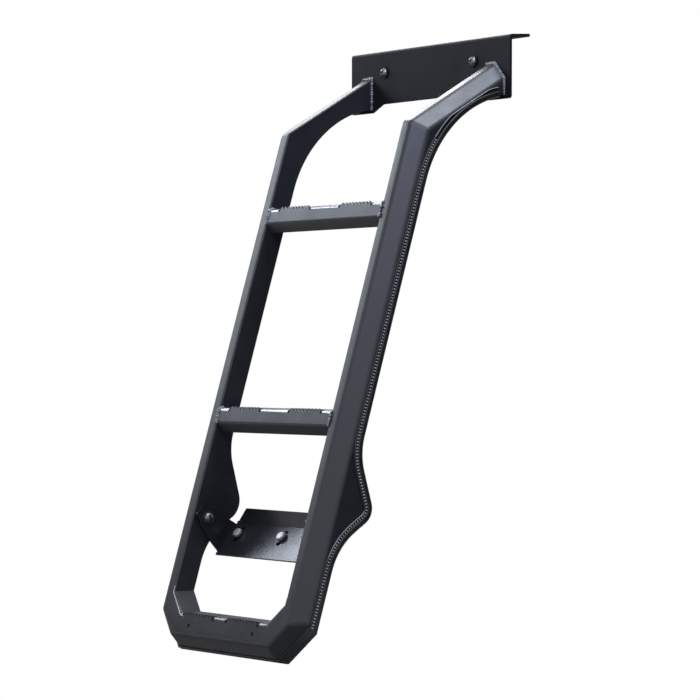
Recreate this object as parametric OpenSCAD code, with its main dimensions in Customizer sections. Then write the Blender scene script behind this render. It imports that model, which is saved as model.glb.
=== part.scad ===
// Side ladder for an off-road vehicle: two leaning, open-backed stiles of folded
// sheet with upper arms, two serrated rungs and a bottom step, a mounting plate
// with a rear flange, and a lower bracket that tilts between the stiles.
// Millimetres. Origin at the centre of the mounting plate's back face, +X to the
// climber's right, +Y towards the vehicle, +Z up.

/* [Stiles] */
lean = 17.15;            // lean of the stiles from the vertical, degrees
arm_rise = 29.9;         // rise of the upper arms, degrees
bend_out = 158.2;        // the bend's distance in front of the plate's back face
bend_drop = 82.3;        // and below its centre
clear_width = 262;       // between the inner plates
face_w = 17.5;           // flat front face of a stile
bevel = 19.5;            // outer bevel, both ways
depth = 33.5;            // stile depth, square to its front face
sheet = 3;               // folded sheet
arc_r = 183;             // hollow arc at the back, under the arm
arc_s = 77;              // where it leaves the straight, below the bend
bulge_start = 467.6;     // bulge that carries the lower bracket
bulge_peak = 539.6;
bulge_end = 596.3;
bulge_out = 47.1;
bulge_r = 22;            // its nose
bulge_in_r = 85;         // its upper hollow
bulge_out_r = 95;        // its lower hollow
inner_bulge_low = 5;     // the inner plates' bulge sits this much lower
inner_bulge_r = 30;      // and has this nose

/* [Treads] */
first_tread = 115;       // tips of the upper rung's teeth, below the bend
tread_pitch = 299.4;
tooth_h = 4.6;
tooth_pitch = 7.6;
rung_teeth = 9;
rung_strip = 36.2;       // middle of the rung to its strips of teeth
step_teeth = 9;
step_strip = 18.2;
step_shift = -7.3;       // the bottom step's pattern, off the middle
relief = 3.5;            // slit at each end of a strip
land = 4;                // bent land between the strips
rung_face = 19.2;        // front face of a rung
rung_bevel = 11.6;       // bevel below it
back_leg = 15;           // folded leg behind a tread

/* [Bottom] */
low_face = 27.8;         // front face below the step
low_bevel = 13.2;
corner = 32;             // 45 degree outer corner
corner_flare = 20.1;     // growth of X + s over the corner's depth
inner_rise = 31;         // slanted inner corner
inner_run = 31;
drain_x = 75;            // drain holes
drain_d = 5;

/* [Mounting plate] */
plate_side = 12;         // beyond each stile
plate_t = 4;
plate_up = 45;           // from the centre to the flange's back corner
plate_down = 45;         // to the lower edge behind the arms
notch_x = 106;           // half the notch in the lower edge
notch_run = 25;
notch_rise = 11.5;
flange_len = 38;
flange_rise = 4.5;       // degrees
plate_r = 4;
roof_bolt_x = 101;
roof_bolt_z = 13;
slot_play = 7;           // travel of a bolt in its slot

/* [Lower bracket] */
pivot_s = 572.2;         // tilt bolts, below the bend
pivot_w = 23.5;          // and behind the front face
side_play = 1.5;         // between a tab and its stile
base_ang = 47.9;         // slope of the base plate as shown
base_drop = 44;          // pivot down to the base plate
base_front = 31.2;       // pivot forward to its front edge
base_back = 26.3;        // pivot back to its rear fold
base_bolt_x = 103;
base_bolt_u = 6.3;       // pivot back to the bolts
base_play = 18;          // travel of a bolt in its slot
rear_flange = 22;
rear_inset = 4;          // slanted ends of the rear flange, at its foot
rear_taper = 19;         // and more at its top
tab_root = 25;           // half length of a tab at the base plate
tab_end = 9.5;           // and at its end
tab_reach = 18.5;        // beyond the pivot

/* [Hardware] */
bolt_d = 8;
neck_d = 7.2;            // plain neck under a head
bolt_clear = 0.5;        // round a bolt in its slot
pin_clear = 0.35;        // round a tilt bolt in its tab
face_clear = 0.2;        // beside a turning tab
head_d = 14;
head_h = 4.4;
hex_d = 15;
hex_h = 5.3;
washer_d = 18;
washer_t = 1.6;
roof_bolt_end = 19;      // beyond the plate
base_bolt_end = 17;      // below the base plate
trim_t = 2.5;            // rubber edge trim
trim_leg = 8.3;
trim_start = 10;         // short of the plate

/* [Show] */

/* [Hidden] */
$fn = 48;
far = 1000;                    // past any piece
lap = 1;                       // a cut runs past a face by this

x0 = clear_width / 2;          // inner face
x1 = x0 + face_w;              // front crease
x2 = x1 + bevel;               // outer face
turn = 90 - lean - arm_rise;
fall = depth * tan(lean);      // a level line's rise in s over the depth
s_upper = first_tread;
s_lower = first_tread + tread_pitch;
s_step = first_tread + 2 * tread_pitch;
s_lip = s_step + tooth_h;      // top of the bottom front face
s_crease = s_lip + low_face;   // its lower crease
s_corner = s_crease - corner;  // start of the outer corner's crease
s_inner = s_lip - inner_rise;  // start of the slanted inner corner
s_split = s_inner - 5;         // stile fold meets corner shell
s_low = s_crease + low_bevel;  // outer lower edge
x_in = x0 - inner_run;         // end of the slanted inner corner

// A stile's own plane: w behind its front face, s down from the bend.
ns = [cos(lean), -sin(lean)];
us = [-sin(lean), -cos(lean)];
bend = [-bend_out, -bend_drop];
function lp(w, s) = bend + w * ns + s * us;
na = [sin(arm_rise), -cos(arm_rise)];
function mitre(w) = bend + w / (1 + cos(turn)) * (ns + na);
function arm_at(w, y) = [y, mitre(w)[1] + (y - mitre(w)[0]) * tan(arm_rise)];

// ---- outlines
function unit(v) = v / norm(v);
function meet(p, u, q, v) =
    p + u * ((q[0] - p[0]) * v[1] - (q[1] - p[1]) * v[0]) / (u[0] * v[1] - u[1] * v[0]);
// corner b between a and c, rounded to radius r
function fillet(a, b, c, r, n = 8) =
    let (u = unit(a - b), v = unit(c - b), h = acos(u * v) / 2,
         o = b + unit(u + v) * r / sin(h),
         p = b + u * r / tan(h), q = b + v * r / tan(h),
         a0 = atan2(p[1] - o[1], p[0] - o[0]),
         e = atan2(q[1] - o[1], q[0] - o[0]) - a0,
         d = e > 180 ? e - 360 : (e < -180 ? e + 360 : e))
    [for (i = [0 : n]) o + r * [cos(a0 + d * i / n), sin(a0 + d * i / n)]];
// closed outline of corners [point, radius]
function rounded(c, n = 6) = let (m = len(c))
    [for (i = [0 : m - 1]) each c[i][1] > 0
        ? fillet(c[(i + m - 1) % m][0], c[i][0], c[(i + 1) % m][0], c[i][1], n) : [c[i][0]]];
function reversed(p) = [for (i = [len(p) - 1 : -1 : 0]) p[i]];

// Back edge of a stile plate moved out by e, from y near the mounting plate
// down to s: hollow arc, straight, bulge with a nose, straight.
function back(e, y, s, lower = 0, nose = bulge_r) =
    let (w = depth + e,
         c = lp(depth + arc_r, arc_s), r = arc_r - e,
         a0 = acos((c[0] - y) / r),
         v = [depth + bulge_out, bulge_peak + lower],
         u2 = unit(v - [depth, bulge_start]), n2 = [u2[1], -u2[0]],
         u3 = unit([depth, bulge_end + lower] - v), n3 = [u3[1], -u3[0]],
         k = meet(v + e * n2, u2, v + e * n3, u3),
         b = meet([w, 0], [0, 1], k, u2),
         f = meet([w, 0], [0, 1], k, u3),
         bulge = concat(fillet([w, 0], b, k, bulge_in_r + e),
                        fillet(b, k, f, nose + e, 10),
                        fillet(k, f, [w, s], bulge_out_r - e, 10), [[w, s]]))
    concat([for (i = [0 : 24]) let (a = a0 + (lean - a0) * i / 24) c + r * [-cos(a), sin(a)]],
           [for (p = bulge) lp(p[0], p[1])]);

// ---- placing
module side(sgn) { if (sgn > 0) children(); else mirror([1, 0, 0]) children(); }
module in_stile() { translate([0, bend[0], bend[1]]) rotate([-lean, 0, 0]) children(); }
module in_arm() { translate([0, bend[0], bend[1]]) rotate([arm_rise - 90, 0, 0]) children(); }
// outline in (Y, Z), from x = a to b
module across(pts, a, b) { translate([a, 0, 0]) rotate([90, 0, 90]) linear_extrude(b - a) polygon(pts); }
// outline in (X, s), from depth w = a to b, inside in_stile
module behind(pts, a, b) { translate([0, b, 0]) rotate([90, 0, 0]) linear_extrude(b - a) polygon([for (p = pts) [p[0], -p[1]]]); }
// profile in (w, s), along each stretch of X, inside in_stile
module lengths(stretches, pts) {
    for (r = stretches) translate([r[0], 0, 0]) rotate([90, 0, 90]) linear_extrude(r[1] - r[0]) polygon([for (p = pts) [p[0], -p[1]]]);
}

// ---- stiles: side plates
module inner_plate() {
    difference() {
        across(concat([lp(sheet, s_inner - sheet * tan(lean)), mitre(sheet), arm_at(sheet, -plate_t)],
            back(0, -plate_t, s_inner - fall, inner_bulge_low, inner_bulge_r)), x0, x0 + sheet);
        translate([0, pivot[0], pivot[1]]) rotate([0, 90, 0]) cylinder(d = bolt_d + 2 * pin_clear, h = far);
    }
}
s_outer = s_corner + corner_flare * bevel / depth - bevel - sheet;   // outer plate meets corner shell
module outer_plate() {
    across(concat([lp(bevel, s_outer), mitre(bevel), arm_at(bevel, -plate_t)], back(0, -plate_t, s_outer)), x2 - sheet, x2);
}

// ---- stiles: folded fronts, flat face and bevel
skew = sheet * sqrt(2);        // sheet measured across a 45 degree wall
fold = [[x0, 0], [x1, 0], [x2, bevel], [x2 - skew, bevel], [x1 - skew + sheet, sheet], [x0, sheet]];
module stile_fold() {
    in_stile() difference() {
        translate([0, 0, -s_split]) linear_extrude(s_split) polygon(fold);
        rotate([-turn / 2, 0, 0]) translate([0, -far / 2, 0]) cube([far, far, far]);
    }
}
module arm_fold() {
    difference() {
        in_arm() difference() {
            linear_extrude(2 * bend_out) polygon(fold);
            rotate([turn / 2, 0, 0]) translate([0, -far / 2, -far]) cube([far, far, far]);
        }
        translate([0, -plate_t, -far / 2]) cube([far, far, far]);
    }
}

// ---- bottom: bevelled ring round the step, with a short wall behind it
flare_k = corner_flare / depth;
low_k = low_bevel / bevel;
across_corner = sqrt(2 + flare_k * flare_k);
in_corner = sheet * across_corner;
in_low = sheet * sqrt(1 + low_k * low_k);
// half outline at depth w, moved in by one sheet where thick is 1
function ring_at(w, thick) =
    let (x = x1 + w - thick * skew,
         c = x1 + s_corner + flare_k * w - thick * in_corner,
         b = s_crease + low_k * w - thick * in_low)
    [[x, s_split], [x, c - x], [c - b, b]];
function both_sides(p) = concat(p, [for (v = reversed(p)) [-v[0], v[1]]]);
module tapered(p, a, q, b) {
    n = len(p);
    polyhedron(points = concat([for (v = p) [v[0], a, -v[1]]], [for (v = q) [v[0], b, -v[1]]]),
        faces = concat([[for (i = [0 : n - 1]) i]], [[for (i = [n - 1 : -1 : 0]) n + i]],
                       [for (i = [0 : n - 1]) [n + i, n + (i + 1) % n, (i + 1) % n, i]]));
}
module ring() {
    difference() {
        tapered(both_sides(ring_at(0, 0)), 0, both_sides(ring_at(bevel, 0)), bevel);
        tapered(both_sides(ring_at(sheet, 1)), sheet, both_sides(ring_at(bevel + lap, 1)), bevel + lap);
        behind(both_sides([[x0, s_split - lap], [x0, s_inner], [x_in, s_lip]]), -lap, depth);
    }
}
// wall behind the ring at depth w, moved out by e, from s down
function wall_at(w, e, s) =
    let (x = x2 + e, c = x1 + s_corner + flare_k * w + e * across_corner, b = s_low + e)
    [[x, s], [x, c - x], [c - b, b]];
module walls(e, s, a, b) { tapered(both_sides(wall_at(a, e, s)), a, both_sides(wall_at(b, e, s)), b); }
module between(a, b) { translate([a, -lap, -far]) cube([b - a, far, far]); }
module low_wall(a, b) {
    intersection() {
        difference() {
            walls(0, s_outer, bevel, depth);
            walls(-sheet, s_outer - lap, bevel - lap, depth + lap);
        }
        between(a, b);
    }
}
module corner_shell() {
    in_stile() {
        intersection() { ring(); between(x_in, far); }
        low_wall(x_in, far);
    }
}
// outline moved up to stay level at depth w
function level(p, w) = [for (v = p) [v[0], v[1] - w * tan(lean)]];
module levelled(p, a, b) { tapered(reversed(level(p, a)), a, reversed(level(p, b)), b); }
module corner_plate() {
    in = sheet * unit([inner_rise, inner_run]);
    in_stile() levelled([[x0, s_inner], [x_in, s_lip], [x_in, s_lip] + in,
        meet([x0, s_inner] + in, [inner_run, -inner_rise], [x0 + sheet, 0], [0, 1]), [x0 + sheet, s_inner]], sheet, depth);
}
module bottom_shell() {
    color([0.07, 0.07, 0.08]) in_stile() difference() {
        union() {
            intersection() { ring(); between(-x_in, x_in); }
            low_wall(-x_in, x_in);
            translate([0, 0, -s_step]) teeth(step_strip, step_teeth, 0, step_shift);
        }
        for (x = [-drain_x, drain_x]) translate([x, 0, -(s_lip + low_face / 2)]) rotate([90, 0, 0]) cylinder(d = drain_d, h = 3 * sheet, center = true);
    }
}

// ---- treads, level from front to back. Profiles in (w, s) from the tips of the teeth.
function strip_end(start, n) = start + n * tooth_pitch;
function strips(start, n, mid) = [for (m = [-1, 1]) let (a = mid + m * (start - relief), b = mid + m * (strip_end(start, n) + relief)) [min(a, b), max(a, b)]];
function saw(a, n) = concat([[a, tooth_h + lap]],
    [for (i = [0 : n - 1]) each [for (k = [[0.06, 1], [0.3, 0], [0.6, 0], [0.9, 1]]) [a + (i + k[0]) * tooth_pitch, k[1] * tooth_h]]],
    [[a + n * tooth_pitch, tooth_h], [a + n * tooth_pitch, tooth_h + lap]]);
module teeth(start, n, w, mid = 0) {
    for (a = [mid + start, mid - strip_end(start, n)]) behind(saw(a, n), w, w + sheet);
}
bent = sheet * (sqrt(2) - 1);
function top(w) = tooth_h - land - (w - land) * tan(lean);   // tread below the tips
function under(w) = top(w) + sheet / cos(lean);
module tread(start, n, half, leg, mid = 0) {
    back_w = depth - sheet;
    foot = tooth_h + leg - fall;
    difference() {
        lengths([[-half, half]], [[0, tooth_h], [land, top(land)], [depth, top(depth)], [depth, foot], [back_w, foot], [back_w, under(back_w)],
            [land + bent, under(land + bent)], [sheet, tooth_h + bent], [sheet, tooth_h + sheet], [0, tooth_h + sheet]]);
        // a slot behind each strip of teeth
        lengths(strips(start, n, mid), [[-lap, -tooth_h], [2 * land, -tooth_h], [2 * land, tooth_h], [-lap, tooth_h]]);
    }
    teeth(start, n, 0, mid);
}
module rung(s) {
    f = tooth_h + rung_face;
    b = rung_bevel;
    in_stile() translate([0, 0, -s]) {
        tread(rung_strip, rung_teeth, x0, back_leg);
        lengths([[-x0, x0]], [[0, tooth_h + sheet / 2], [sheet, tooth_h + sheet / 2], [sheet, f - bent], [b, f + b - skew], [b, f + b], [0, f]]);
    }
}
module upper_rung() { color([0.08, 0.08, 0.09]) rung(s_upper); }
module lower_rung() { color([0.08, 0.08, 0.09]) rung(s_lower); }
module bottom_step() {
    color([0.08, 0.08, 0.09]) in_stile() difference() {
        translate([0, 0, -s_step]) difference() {
            tread(step_strip, step_teeth, x_in + 2 * sheet, back_leg, step_shift);
            // the front leg and its teeth are the bottom shell's own edge
            translate([-far / 2, -lap, -far - tooth_h]) cube([far, sheet + lap, far]);
            for (r = strips(step_strip, step_teeth, step_shift)) translate([r[0], -lap, -far / 2]) cube([r[1] - r[0], sheet + 2 * lap, far]);
        }
        // its ends lie against the corner plates
        for (m = [0, 1]) mirror([m, 0, 0]) levelled([[x0, s_inner], [x_in, s_lip], [x_in, s_lip + far], [x0, s_lip + far]], -lap, depth + lap);
    }
}

// ---- rubber edge trim: two legs and a bridge behind the sheet
module edge_trim() {
    y = -plate_t - trim_start;
    difference() {
        across(concat(back(trim_t, y, s_outer), reversed(back(-trim_leg, y - 1.5, s_outer))), x2 - sheet - trim_t, x2 + trim_t);
        across(concat(back(0, y + lap, s_outer + lap), reversed(back(-trim_leg - lap, y + lap, s_outer + lap))), x2 - sheet, x2);
    }
}
module bottom_edge_trim() {
    a = depth - trim_leg;
    color([0.02, 0.02, 0.02]) in_stile() difference() {
        walls(trim_t, s_outer, a, depth + trim_t);
        walls(-sheet - trim_t, s_outer - lap, a - lap, depth + trim_t + lap);
        difference() {
            walls(0, s_outer - lap, a - lap, depth);
            walls(-sheet, s_outer - 2 * lap, a - 2 * lap, depth + lap);
        }
    }
}

// ---- mounting plate with the rear flange
module slot_cut(play, d) {
    for (x = [-play / 2, play / 2]) translate([x, 0, -far / 2]) cylinder(d = d, h = far);
    translate([-play / 2, -d / 2, -far / 2]) cube([play, d, far]);
}
module top_plate() {
    half = x2 + plate_side;
    rise = tan(flange_rise) * flange_len;
    section = rounded([[[-plate_t, -plate_down], 0], [[-plate_t, plate_up], 4.5], [[flange_len, plate_up + rise], 0],
                       [[flange_len, plate_up + rise - plate_t], 0], [[0, plate_up - plate_t], 1], [[0, -plate_down], 0]]);
    mid = -plate_down + notch_rise;
    right = [[[notch_x, mid], 14], [[notch_x + notch_run, -plate_down], 9], [[half, -plate_down], plate_r], [[half, far], 0]];
    outline = rounded(concat(right, [for (c = reversed(right)) [[-c[0][0], c[0][1]], c[1]]]));
    color([0.05, 0.05, 0.055]) difference() {
        intersection() {
            across(section, -half, half);
            translate([0, far / 2, 0]) rotate([90, 0, 0]) linear_extrude(far) polygon(outline);
            translate([0, 0, -far / 2]) linear_extrude(far) polygon(rounded([[[-half, -far], 0], [[half, -far], 0], [[half, flange_len], 2 * plate_r], [[-half, flange_len], 2 * plate_r]]));
        }
        for (x = [-roof_bolt_x, roof_bolt_x]) translate([x, 0, roof_bolt_z]) rotate([90, 0, 0]) slot_cut(slot_play, bolt_d + 2 * bolt_clear);
    }
}

// ---- bolts. Local Z runs from under the head towards the free end.
module ring_washer(d, hole, t) { difference() { cylinder(d = d, h = t); translate([0, 0, -lap]) cylinder(d = hole, h = t + 2 * lap); } }
module button_head() {
    r = (head_d * head_d / 4 + head_h * head_h) / (2 * head_h);
    difference() {
        intersection() {
            translate([0, 0, -head_h]) cylinder(d = head_d, h = head_h);
            translate([0, 0, r - head_h]) sphere(r = r);
        }
        translate([0, 0, -head_h - lap]) cylinder(d = 0.41 * head_d, h = 0.6 * head_h + lap, $fn = 6);
    }
}
module shank(neck, free) {
    cylinder(d = neck_d, h = neck);
    translate([0, 0, neck]) cylinder(d = bolt_d, h = free);
    translate([0, 0, neck + free]) cylinder(d1 = bolt_d, d2 = bolt_d - 1.8, h = 1);
}
module at_roof_bolt(sgn) { translate([sgn * roof_bolt_x, -plate_t - washer_t, roof_bolt_z]) rotate([-90, 0, 0]) children(); }
module roof_washer(sgn) { at_roof_bolt(sgn) ring_washer(washer_d, bolt_d + 0.4, washer_t); }
module roof_bolt(sgn) { at_roof_bolt(sgn) { button_head(); shank(washer_t + plate_t + bolt_clear, roof_bolt_end); } }

// ---- tilt bolts: a flanged head inside each tab, a spacer, and a nut in the stile
pivot = lp(pivot_w, pivot_s);
tab_x = x0 - side_play;        // outer face of a tab
module at_pivot(x) { translate([x, pivot[0], pivot[1]]) rotate([0, 90, 0]) children(); }
module tilt_bolt() {
    seat = tab_x - sheet - face_clear;
    at_pivot(seat - washer_t) { button_head(); cylinder(d = washer_d, h = washer_t); }
    at_pivot(seat) cylinder(d = bolt_d, h = x0 + sheet + hex_h + 2 - seat);
}
module tilt_nut() {
    at_pivot(x0 + sheet) difference() {
        cylinder(d = hex_d, h = hex_h, $fn = 6);
        translate([0, 0, -lap]) cylinder(d = bolt_d, h = hex_h + 2 * lap);
    }
}
module tilt_spacer() { at_pivot(tab_x + face_clear) ring_washer(washer_d, bolt_d + 0.1, side_play - face_clear); }

// ---- lower bracket, in its own plane: u back along the base plate, h up from it, both from the pivot
module in_bracket() { translate([0, pivot[0], pivot[1]]) rotate([base_ang, 0, 0]) children(); }
module bracket_bolt_at(x) { translate([x, base_bolt_u, -base_drop]) rotate([180, 0, 0]) children(); }
module lower_bracket() {
    inside = tab_x - sheet;
    up = [sin(base_ang), cos(base_ang)];       // upright, seen from the base plate
    root = [base_back, -base_drop];
    tip = root + rear_flange * up;
    low = -base_drop - sheet;
    in = sheet * [up[1], -up[0]];
    section = [[-base_front, -base_drop], root, tip, tip + in, meet(tip + in, up, [0, low], [1, 0]), [-base_front, low]];
    tab = rounded([[[-tab_root, low], 0], [[-tab_root + sheet, -0.41 * base_drop], 10 * sheet], [[-tab_end, tab_reach], 3], [[tab_end, tab_reach], 3], [[tab_root, -base_drop], 0], [[tab_root, low], 0]]);
    color([0.06, 0.06, 0.07]) in_bracket() difference() {
        union() {
            difference() {
                across(section, -inside, inside);
                // slanted ends of the rear flange
                for (m = [0, 1]) mirror([m, 0, 0]) translate([0, root[0], root[1]]) rotate([90 - base_ang, 0, 0])
                    translate([0, 0, -far / 2]) linear_extrude(far) polygon([[inside - rear_inset, sheet],
                        [inside - rear_inset - rear_taper, rear_flange + lap], [inside + lap, rear_flange + lap], [inside + lap, sheet]]);
            }
            across(tab, inside, tab_x);
            across(tab, -tab_x, -inside);
        }
        for (x = [-base_bolt_x, 0, base_bolt_x]) bracket_bolt_at(x) rotate([0, 0, 90]) slot_cut_short(base_play, bolt_d + 2 * bolt_clear);
        rotate([0, 90, 0]) cylinder(d = bolt_d + 2 * pin_clear, h = far, center = true);
    }
}
module slot_cut_short(play, d) {
    for (x = [-play / 2, play / 2]) translate([x, 0, -lap]) cylinder(d = d, h = sheet + 2 * lap);
    translate([-play / 2, -d / 2, -lap]) cube([play, d, sheet + 2 * lap]);
}
module bracket_washer(x) { in_bracket() bracket_bolt_at(x) translate([0, 0, -washer_t]) ring_washer(washer_d - 1, bolt_d + 0.4, washer_t); }
module bracket_bolt(x) {
    in_bracket() bracket_bolt_at(x) translate([0, 0, -washer_t]) {
        translate([0, 0, -hex_h]) cylinder(d = hex_d, h = hex_h, $fn = 6);
        shank(washer_t + sheet + bolt_clear, base_bolt_end);
    }
}

// ---- named pieces
PLATE = [0.05, 0.05, 0.055];
FRONT = [0.09, 0.09, 0.1];
ZINC = [0.6, 0.6, 0.58];
module left_inner_plate() { color(PLATE) side(-1) inner_plate(); }
module right_inner_plate() { color(PLATE) side(1) inner_plate(); }
module left_outer_plate() { color(PLATE) side(-1) outer_plate(); }
module right_outer_plate() { color(PLATE) side(1) outer_plate(); }
module left_stile_fold() { color(FRONT) side(-1) stile_fold(); }
module right_stile_fold() { color(FRONT) side(1) stile_fold(); }
module left_arm_fold() { color(FRONT) side(-1) arm_fold(); }
module right_arm_fold() { color(FRONT) side(1) arm_fold(); }
module left_corner_shell() { color(FRONT) side(-1) corner_shell(); }
module right_corner_shell() { color(FRONT) side(1) corner_shell(); }
module left_corner_plate() { color(PLATE) side(-1) corner_plate(); }
module right_corner_plate() { color(PLATE) side(1) corner_plate(); }
module left_edge_trim() { color([0.02, 0.02, 0.02]) side(-1) edge_trim(); }
module right_edge_trim() { color([0.02, 0.02, 0.02]) side(1) edge_trim(); }
module left_roof_bolt() { color(PLATE) roof_bolt(-1); }
module right_roof_bolt() { color(PLATE) roof_bolt(1); }
module left_roof_washer() { color(PLATE) roof_washer(-1); }
module right_roof_washer() { color(PLATE) roof_washer(1); }
module left_tilt_bolt() { color(ZINC) side(-1) tilt_bolt(); }
module right_tilt_bolt() { color(ZINC) side(1) tilt_bolt(); }
module left_tilt_nut() { color(ZINC) side(-1) tilt_nut(); }
module right_tilt_nut() { color(ZINC) side(1) tilt_nut(); }
module left_tilt_spacer() { color(ZINC) side(-1) tilt_spacer(); }
module right_tilt_spacer() { color(ZINC) side(1) tilt_spacer(); }
module left_bracket_bolt() { color(ZINC) bracket_bolt(-base_bolt_x); }
module middle_bracket_bolt() { color(ZINC) bracket_bolt(0); }
module right_bracket_bolt() { color(ZINC) bracket_bolt(base_bolt_x); }
module left_bracket_washer() { color(ZINC) bracket_washer(-base_bolt_x); }
module middle_bracket_washer() { color(ZINC) bracket_washer(0); }
module right_bracket_washer() { color(ZINC) bracket_washer(base_bolt_x); }

top_plate();
left_inner_plate();
right_inner_plate();
left_outer_plate();
right_outer_plate();
left_stile_fold();
right_stile_fold();
left_arm_fold();
right_arm_fold();
left_corner_shell();
right_corner_shell();
bottom_shell();
left_corner_plate();
right_corner_plate();
upper_rung();
lower_rung();
bottom_step();
left_edge_trim();
right_edge_trim();
bottom_edge_trim();
left_roof_bolt();
right_roof_bolt();
left_roof_washer();
right_roof_washer();
left_tilt_bolt();
right_tilt_bolt();
left_tilt_nut();
right_tilt_nut();
left_tilt_spacer();
right_tilt_spacer();
lower_bracket();
left_bracket_bolt();
middle_bracket_bolt();
right_bracket_bolt();
left_bracket_washer();
middle_bracket_washer();
right_bracket_washer();
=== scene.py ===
"""Looks of the side ladder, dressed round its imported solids.

Metres, in the part's own frame: origin at the centre of the mounting plate's
back face, +X to the climber's right, +Y towards the vehicle, +Z up.
"""

import logging
import math
from collections.abc import Sequence
from dataclasses import dataclass, field
from enum import Enum

import bmesh
import bpy
from mathutils import Matrix, Vector


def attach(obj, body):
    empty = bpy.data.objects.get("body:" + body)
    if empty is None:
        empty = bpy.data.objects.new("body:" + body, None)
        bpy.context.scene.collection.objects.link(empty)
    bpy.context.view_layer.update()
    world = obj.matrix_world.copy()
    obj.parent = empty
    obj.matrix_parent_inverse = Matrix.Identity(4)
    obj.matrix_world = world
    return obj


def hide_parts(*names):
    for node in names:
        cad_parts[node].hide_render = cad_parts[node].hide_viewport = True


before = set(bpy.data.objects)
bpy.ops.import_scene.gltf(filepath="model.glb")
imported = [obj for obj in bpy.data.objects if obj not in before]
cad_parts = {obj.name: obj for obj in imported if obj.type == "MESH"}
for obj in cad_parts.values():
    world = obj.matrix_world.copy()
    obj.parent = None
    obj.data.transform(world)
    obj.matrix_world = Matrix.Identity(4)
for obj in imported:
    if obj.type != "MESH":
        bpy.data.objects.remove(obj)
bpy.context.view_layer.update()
LOG = logging.getLogger("side_ladder")
MM = 0.001
SIDES = ("left", "right")
Pair = tuple[float, float]
Triple = tuple[float, float, float]
Plane = list[Vector]
Runs = Sequence[Sequence[Vector]]
Beads = list[tuple[list[Vector], Vector]]
Material = bpy.types.Material
Object = bpy.types.Object
Shape = bmesh.types.BMesh
Socket = bpy.types.NodeSocket
Tree = bpy.types.NodeTree
Fed = dict[str | int, object]


class Body(Enum):
    """The two bodies that pieces ride on."""

    LADDER = "ladder"
    BRACKET = "bracket"


class Slot(Enum):
    """Material slots of the record."""

    COAT = "powder_coat"
    TRIM = "edge_trim"
    BLACK = "black_hardware"
    ZINC = "hardware"


# Nodes and materials


def feed(tree: Tree, node: bpy.types.Node, fed: Fed) -> None:
    """Links a node's inputs to outputs or sets their values.

    Args:
        tree: The tree.
        node: The node.
        fed: Outputs and values, by the inputs' names or numbers.
    """
    for name, value in fed.items():
        if isinstance(value, Socket):
            tree.links.new(value, node.inputs[name])
        elif value is not None:
            node.inputs[name].default_value = value


def add(tree: Tree, kind: str, result: str, fed: Fed, **settings: str) -> Socket:
    """Adds a node to a tree.

    Args:
        tree: The tree.
        kind: The node's type.
        result: The output to return.
        fed: What its inputs get.
        settings: The node's own settings.

    Returns:
        The named output.
    """
    node = tree.nodes.new(kind)
    for name, value in settings.items():
        setattr(node, name, value)
    feed(tree, node, fed)
    return node.outputs[result]


class Graph:
    """A small helper that builds one material's nodes."""

    def __init__(self, name: str) -> None:
        """Starts a material with a plain Principled surface.

        Args:
            name: The material's name.
        """
        self.material = bpy.data.materials.new(name)
        self.material.use_nodes = True
        self.tree = self.material.node_tree
        self.place = add(self.tree, "ShaderNodeTexCoord", "Object", {})

    def put(self, fed: Fed) -> None:
        """Links or sets the surface's own sockets."""
        feed(self.tree, self.tree.nodes["Principled BSDF"], fed)

    def noise(self, scale: float, detail: float = 2.0) -> Socket:
        """Adds a noise of so many cells per metre and octaves, on the object's own coordinates."""
        fed = {"Vector": self.place, "Scale": scale, "Detail": detail}
        return add(self.tree, "ShaderNodeTexNoise", "Fac", fed)

    def spread(self, noise: Socket, low: float, high: float) -> Socket:
        """Maps the span in which a noise mostly lies, 0.3 to 0.7, to low..high."""
        span = {"From Min": 0.3, "From Max": 0.7, "To Min": low, "To Max": high}
        return add(self.tree, "ShaderNodeMapRange", "Result", {"Value": noise, **span})

    def blend(self, amount: Socket, first: Triple, second: Triple) -> Socket:
        """Mixes two colours by an amount and returns the mix."""
        fed = {"Factor": amount, "A": (*first, 1.0), "B": (*second, 1.0)}
        return add(self.tree, "ShaderNodeMix", "Result", fed, data_type="RGBA")

    def drift(self, noise: Socket, first: Triple, second: Triple) -> Socket:
        """Returns a colour that drifts from one to another with a noise."""
        return self.blend(self.spread(noise, 0.0, 1.0), first, second)

    def bump(self, height: Socket, strength: float, depth: float, after: Socket | None = None) -> Socket:
        """Adds a bump that follows a height, with its strength and a full step's depth, to a normal."""
        fed = {"Strength": strength, "Distance": depth, "Height": height, "Normal": after}
        return add(self.tree, "ShaderNodeBump", "Normal", fed)


@dataclass(frozen=True)
class Finish:
    """A surface whose colour and roughness drift with a noise, under a fine grain.

    Patches and clouds are a noise's scale and detail, the peel adds its strength to them, and the
    grain is a scale, a strength and a depth.
    """

    name: str
    colour: Triple
    drift: Triple
    roughness: Pair
    patches: Pair
    grain: Triple
    gloss: float = 0.5
    metallic: float = 0.0
    clouds: Pair | None = None
    peel: Triple | None = None

    def material(self) -> Material:
        """Builds the finish, with clouds of colour and an orange peel where it has them.

        Returns:
            The material.
        """
        graph = Graph(self.name)
        patch = graph.noise(*self.patches)
        cloud = graph.noise(*self.clouds) if self.clouds else patch
        scale, strength, depth = self.grain
        under = graph.bump(graph.noise(*self.peel[:2]), self.peel[2], depth) if self.peel else None
        graph.put({
            "Base Color": graph.drift(cloud, self.colour, self.drift),
            "Roughness": graph.spread(patch, *self.roughness),
            "Normal": graph.bump(graph.noise(scale), strength, depth, under),
            "Specular IOR Level": self.gloss,
            "Metallic": self.metallic,
        })
        return graph.material


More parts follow.
